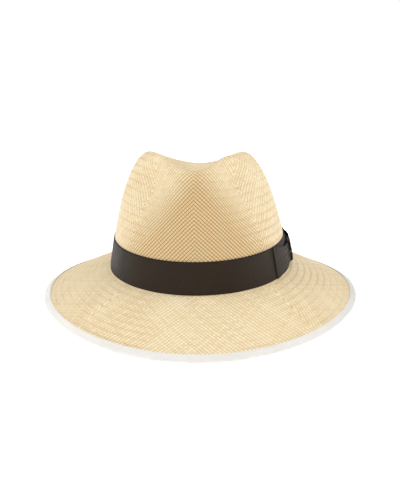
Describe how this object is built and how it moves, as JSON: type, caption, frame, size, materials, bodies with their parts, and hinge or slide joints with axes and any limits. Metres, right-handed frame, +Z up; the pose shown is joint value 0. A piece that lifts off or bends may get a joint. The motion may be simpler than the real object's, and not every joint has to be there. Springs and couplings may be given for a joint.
{
  "type": "straw sun hat",
  "caption": "Woven straw sun hat with a pinched fedora crown, a wide drooping ribbon-bound brim, a dark grosgrain hatband with a side bow, and a leather sweatband.",
  "frame": {"origin": "centre of the head opening, in the plane of the break where the crown meets the brim", "axes": "+X towards the wearer's left, where the bow is; -Y towards the front of the hat; +Z up through the crown"},
  "size_m": [0.3026, 0.3316, 0.153],
  "materials": {
    "straw": "woven straw, slightly glossy strands",
    "ivory_ribbon": "fine ribbed ribbon",
    "ivory_thread": "matte",
    "dark_ribbon": "grosgrain, satin",
    "dark_thread": "matte",
    "sweat_leather": "smooth, satin",
    "reed_plastic": "matte",
    "tape_cloth": "plain weave",
    "label_cloth": "satin weave",
    "back_bow_ribbon": "satin"
  },
  "bodies": {
    "root": {"straw_body": "straw", "brim_binding": "ivory_ribbon", "binding_thread": "ivory_thread", "hatband_ribbon": "dark_ribbon", "bow_front_wing": "dark_ribbon", "bow_rear_wing": "dark_ribbon", "bow_knot": "dark_ribbon", "hatband_tacks": "dark_thread", "sweatband": "sweat_leather", "sweatband_reed": "reed_plastic", "reed_tape": "tape_cloth", "sweatband_thread": "ivory_thread", "back_seam_tape": "tape_cloth", "size_label": "label_cloth", "back_bow_loops": "back_bow_ribbon", "back_bow_knot": "back_bow_ribbon"}
  },
  "joints": []
}
